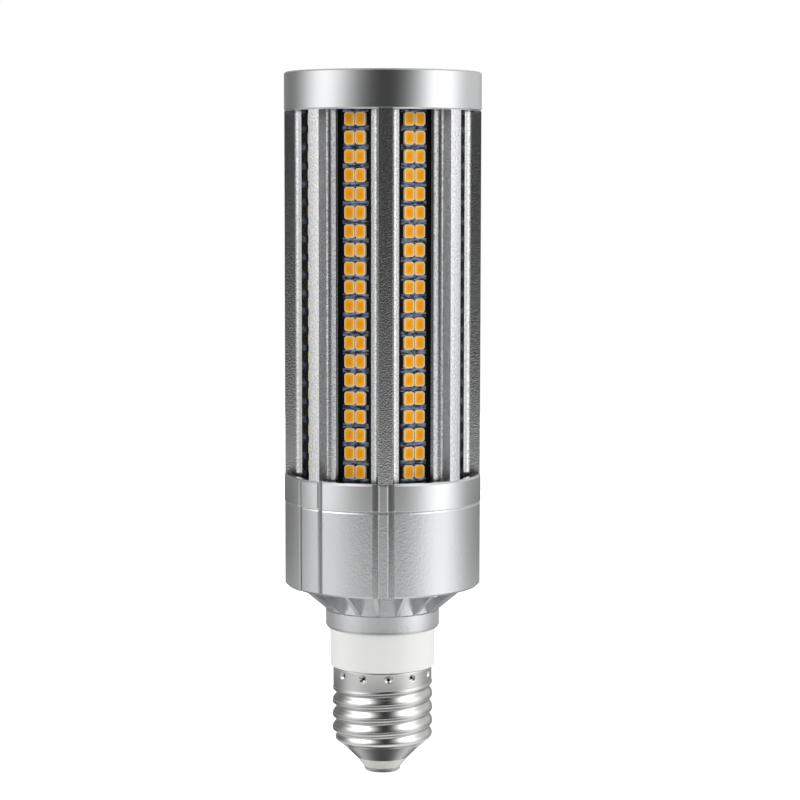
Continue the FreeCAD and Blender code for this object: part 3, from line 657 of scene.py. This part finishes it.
driver_finishes = {
    "green_solder_mask": {"hex": "#1F5B34", "dark": "#174A29", "rough": 0.40, "grain": 0.8 * mm,
                          "nodes": ["driver_board"]},
    "ferrite": {"hex": "#2E2E30", "dark": "#222224", "rough": 0.62, "grain": 0.2 * mm,
                "nodes": ["transformer_core"]},
    "polyester_tape": {"hex": "#DDB630", "dark": "#C9A021", "rough": 0.32, "grain": 1.5 * mm,
                       "nodes": ["transformer_winding"]},
    "shrink_sleeve": {"hex": "#191B20", "dark": "#101216", "rough": 0.30, "grain": 2.0 * mm,
                      "nodes": ["input_capacitor", "output_capacitor", "filter_choke"]},
    "dipped_epoxy": {"hex": "#A32C24", "dark": "#8C211B", "rough": 0.26, "grain": 2.5 * mm,
                     "nodes": ["film_capacitor"]},
    "moulded_epoxy": {"hex": "#161618", "dark": "#0E0E10", "rough": 0.55, "grain": 0.15 * mm,
                      "nodes": ["bridge_rectifier", "driver_chip"]},
    "fuse_case": {"hex": "#5E3D2C", "dark": "#4C2F21", "rough": 0.45, "grain": 0.6 * mm,
                  "nodes": ["fuse"]},
    "red_silicone": {"hex": "#A81A13", "dark": "#95130E", "rough": 0.52, "grain": 0.5 * mm,
                     "nodes": ["live_lead", "positive_lead"]},
    "black_silicone": {"hex": "#131315", "dark": "#0C0C0E", "rough": 0.52, "grain": 0.5 * mm,
                       "nodes": ["neutral_lead", "negative_lead"]},
    "white_silicone": {"hex": "#E2E2E0", "dark": "#D3D3D0", "rough": 0.52, "grain": 0.5 * mm,
                       "nodes": ["top_jumpers", "bottom_jumpers"]},
}
for finish, look in driver_finishes.items():
    material, tree, shader = finish_of(finish, look["hex"], Roughness=look["rough"])
    place = add(tree, "ShaderNodeTexCoord").outputs["Object"]
    mottle = add(tree, "ShaderNodeTexNoise", {"Scale": 1 / look["grain"], "Detail": 2.0}, {"Vector": place})
    colour = add(tree, "ShaderNodeMix",
                 {"data_type": "RGBA", 6: linear(look["dark"]), 7: linear(look["hex"])},
                 {0: mottle.outputs["Fac"]})
    relief = add(tree, "ShaderNodeBump", {"Strength": 0.2, "Distance": 0.03 * mm},
                 {"Height": mottle.outputs["Fac"]})
    wire(tree, shader, {"Base Color": colour.outputs[2], "Normal": relief.outputs["Normal"]})
    for node in look["nodes"]:
        dress(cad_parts[node], material)


# Studio
# A pale floor and a white surround, lit evenly, with a soft lamp to the left and right of
# the front. Round the bulb stands a tent that only gloss sees: bright at both sides, dark
# in front and overhead, and lit again on its floor, as the bulb's metal shows it.

floor_drop = 0.05 * mm
floor_size = 60.0
room_light = 0.48
paper_tone = 0.86
paper_lift = 0.59      # brings the paper up to white where it is seen
tent_around = 120
tent_along = 90
tent_floor = -0.02 * mm
front_round = 0.4
front_spread = 90


def stage_material(name):
    """An empty material for the studio."""
    material = bpy.data.materials.new(name)
    material.use_nodes = True
    material.node_tree.nodes.clear()
    return material, material.node_tree


def seen_rays(tree):
    """One for camera, glossy and transmission rays, and zero for the rest."""
    path = add(tree, "ShaderNodeLightPath")
    either = add(tree, "ShaderNodeMath", {"operation": "MAXIMUM"},
                 {0: path.outputs["Is Camera Ray"], 1: path.outputs["Is Glossy Ray"]})
    return add(tree, "ShaderNodeMath", {"operation": "MAXIMUM"},
               {0: either.outputs["Value"], 1: path.outputs["Is Transmission Ray"]}).outputs["Value"]


world = bpy.data.worlds.new("studio")
bpy.context.scene.world = world
world.use_nodes = True
tree = world.node_tree
tree.nodes.clear()
room = add(tree, "ShaderNodeBackground", {"Color": (1, 1, 1, 1), "Strength": room_light})
white = add(tree, "ShaderNodeBackground", {"Color": (1, 1, 1, 1), "Strength": 1.0})
both = add(tree, "ShaderNodeMixShader", {}, {0: seen_rays(tree), 1: room.outputs[0], 2: white.outputs[0]})
add(tree, "ShaderNodeOutputWorld", {}, {"Surface": both.outputs[0]})

material, tree = stage_material("floor_paper")
paper = add(tree, "ShaderNodeBsdfDiffuse", {"Color": (paper_tone, paper_tone, paper_tone, 1)})
lift = add(tree, "ShaderNodeEmission", {"Color": (1, 1, 1, 1), "Strength": paper_lift})
lifted = add(tree, "ShaderNodeAddShader", {}, {0: paper.outputs[0], 1: lift.outputs[0]})
mixed = add(tree, "ShaderNodeMixShader", {},
            {0: seen_rays(tree), 1: paper.outputs[0], 2: lifted.outputs[0]})
add(tree, "ShaderNodeOutputMaterial", {}, {"Surface": mixed.outputs[0]})
corners = np.array([(-1, -1, 0), (1, -1, 0), (1, 1, 0), (-1, 1, 0)]) * floor_size / 2
floor = mesh_piece("floor", corners - np.array([0, 0, floor_drop]), [(0, 1, 2, 3)], material)

box_away = 0.95
box_height = 0.80
box_level = 0.42
soft_boxes = {
    "soft_box_back": {"turn": 180.0, "width": 0.60, "power": 4.6},
    "soft_box_left": {"turn": -72.0, "width": 0.50, "power": 4.2},
    "soft_box_right": {"turn": 72.0, "width": 0.55, "power": 5.2},
}
for name, box in soft_boxes.items():
    lamp = bpy.data.lights.new(name, "AREA")
    lamp.shape = "RECTANGLE"
    lamp.size = box["width"]
    lamp.size_y = box_height
    lamp.energy = box["power"]
    holder = bpy.data.objects.new(name, lamp)
    bpy.context.scene.collection.objects.link(holder)
    turn = math.radians(box["turn"])
    holder.location = (box_away * math.sin(turn), -box_away * math.cos(turn), box_level)
    holder.rotation_euler = (math.pi / 2, 0, turn)
    holder.visible_glossy = False

# Places down the tent, from the roof's middle to the floor's: distance from the axis and
# height in metres, then how bright the front is and what the left, right and back add.
tent_places = {
    "roof": {"out": 0.0, "height": 0.75, "front": 0.03, "left": 0.3, "right": 0.3, "back": 0.3},
    "roof_ring": {"out": 0.3, "height": 0.75, "front": 0.02, "left": 1.4, "right": 1.2, "back": 0.6},
    "roof_edge": {"out": 0.65, "height": 0.75, "front": 0.02, "left": 3.0, "right": 2.4, "back": 1.0},
    "wall_high": {"out": 0.65, "height": 0.38, "front": 0.02, "left": 2.5, "right": 2.1, "back": 1.0},
    "wall_mid": {"out": 0.65, "height": 0.24, "front": 0.02, "left": 1.1, "right": 1.35, "back": 1.0},
    "wall_low": {"out": 0.65, "height": 0.12, "front": 0.01, "left": 1.1, "right": 1.35, "back": 0.9},
    "wall_foot": {"out": 0.65, "height": 0.04, "front": 0.06, "left": 0.9, "right": 1.2, "back": 0.6},
    "floor_edge": {"out": 0.65, "height": 0.0, "front": 0.42, "left": 0.75, "right": 1.1, "back": 0.25},
    "floor_far": {"out": 0.58, "height": 0.0, "front": 0.28, "left": 0.75, "right": 1.0, "back": 0.2},
    "floor_mid": {"out": 0.39, "height": 0.0, "front": 0.22, "left": 0.5, "right": 0.95, "back": 0.2},
    "floor_inner": {"out": 0.22, "height": 0.0, "front": 1.15, "left": 0.32, "right": 0.85, "back": 0.2},
    "floor_lit": {"out": 0.145, "height": 0.0, "front": 0.66, "left": 0.25, "right": 0.5, "back": 0.2},
    "floor_dim": {"out": 0.115, "height": 0.0, "front": 0.34, "left": 0.5, "right": 0.8, "back": 0.3},
    "floor_dark": {"out": 0.095, "height": 0.0, "front": 0.16, "left": 0.6, "right": 0.85, "back": 0.4},
    "floor_crest": {"out": 0.06, "height": 0.0, "front": 0.2, "left": 0.5, "right": 0.75, "back": 0.4},
    "floor_near": {"out": 0.045, "height": 0.0, "front": 0.35, "left": 0.4, "right": 0.6, "back": 0.3},
    "floor_rise": {"out": 0.034, "height": 0.0, "front": 0.65, "left": 0.2, "right": 0.3, "back": 0.2},
    "floor_foot": {"out": 0.027, "height": 0.0, "front": 0.95, "left": 0.1, "right": 0.2, "back": 0.2},
    "floor_ring": {"out": 0.0145, "height": 0.0, "front": 0.95, "left": 0.1, "right": 0.2, "back": 0.2},
    "floor_under": {"out": 0.0125, "height": 0.0, "front": 0.08, "left": 0.5, "right": 0.6, "back": 0.3},
    "floor_middle": {"out": 0.0, "height": 0.0, "front": 0.08, "left": 0.3, "right": 0.4, "back": 0.2},
}


# Where round the tent its left, right and back are bright, and how far that spreads.
tent_sides = [
    {"side": "left", "turn": -70, "spread": 34, "share": 1.0},
    {"side": "right", "turn": 70, "spread": 30, "share": 1.0},
    {"side": "back", "turn": 133, "spread": 42, "share": 0.62},
    {"side": "back", "turn": -152, "spread": 42, "share": 0.20},
]


def hump(turn, middle, width):
    """A bell over the turn round the axis, in degrees: e to minus the square of the turn off its
    middle over its width."""
    off = (turn - middle + 180) % 360 - 180
    return np.exp(-(off / width) ** 2)


def tent_surface():
    """The tent's places, joined by straight runs and turned about the axis, and each point's tone:
    the front's, which is brightest ahead, plus a bell for each bright side."""
    places = list(tent_places.values())
    out = np.array([place["out"] for place in places])
    height = np.array([place["height"] for place in places])
    run = np.concatenate([[0], np.cumsum(np.hypot(np.diff(out), np.diff(height)))])
    along = np.sort(np.concatenate([np.linspace(0, run[-1], tent_along - len(run)), run]))
    amount = {key: np.interp(along, run, [place[key] for place in places])[:, None]
              for key in ("out", "height", "front", "left", "right", "back")}
    turn = np.linspace(-180, 180, tent_around, endpoint=False)[None, :]
    tone = amount["front"] * (front_round + (1 - front_round) * hump(turn, 0, front_spread))
    for bright in tent_sides:
        bell = hump(turn, bright["turn"], bright["spread"])
        tone = tone + amount[bright["side"]] * bright["share"] * bell
    points = np.stack([
        amount["out"] * np.sin(np.radians(turn)),
        -amount["out"] * np.cos(np.radians(turn)),
        amount["height"] + tent_floor + 0 * turn,
    ], axis=-1)
    return points, tone


material, tree = stage_material("tent_cloth")
tone = add(tree, "ShaderNodeAttribute", {"attribute_name": "tone"}).outputs["Fac"]
glow = add(tree, "ShaderNodeEmission", {"Color": (1, 1, 1, 1)}, {"Strength": tone})
add(tree, "ShaderNodeOutputMaterial", {}, {"Surface": glow.outputs[0]})
tent_points, tent_tones = tent_surface()
rings, around, _ = tent_points.shape
faces = np.concatenate([ring_faces(i * around, (i + 1) * around, around) for i in range(rings - 1)])
tent = mesh_piece("tent", tent_points.reshape(-1, 3), faces, material, tone=tent_tones)
tent.visible_camera = False
tent.visible_diffuse = False
tent.visible_transmission = False
tent.visible_shadow = False


# Camera
# It stands a little above the middle of the bulb and looks slightly down, with the bulb
# left of the middle of the frame.

camera_away = 616.6 * mm
camera_level = 157.0 * mm
camera_pitch = 5.41
camera_roll = -0.08
camera_yaw = -0.416
lens = 106.1
sensor = 36

camera_data = bpy.data.cameras.new("camera")
camera_data.sensor_width = sensor
camera_data.lens = lens
camera = bpy.data.objects.new("camera", camera_data)
camera.location = (0, -camera_away, camera_level)
camera.rotation_euler = [math.radians(angle) for angle in (90 - camera_pitch, camera_roll, camera_yaw)]
bpy.context.scene.collection.objects.link(camera)
bpy.context.scene.camera = camera
bpy.context.scene.view_settings.view_transform = "Standard"
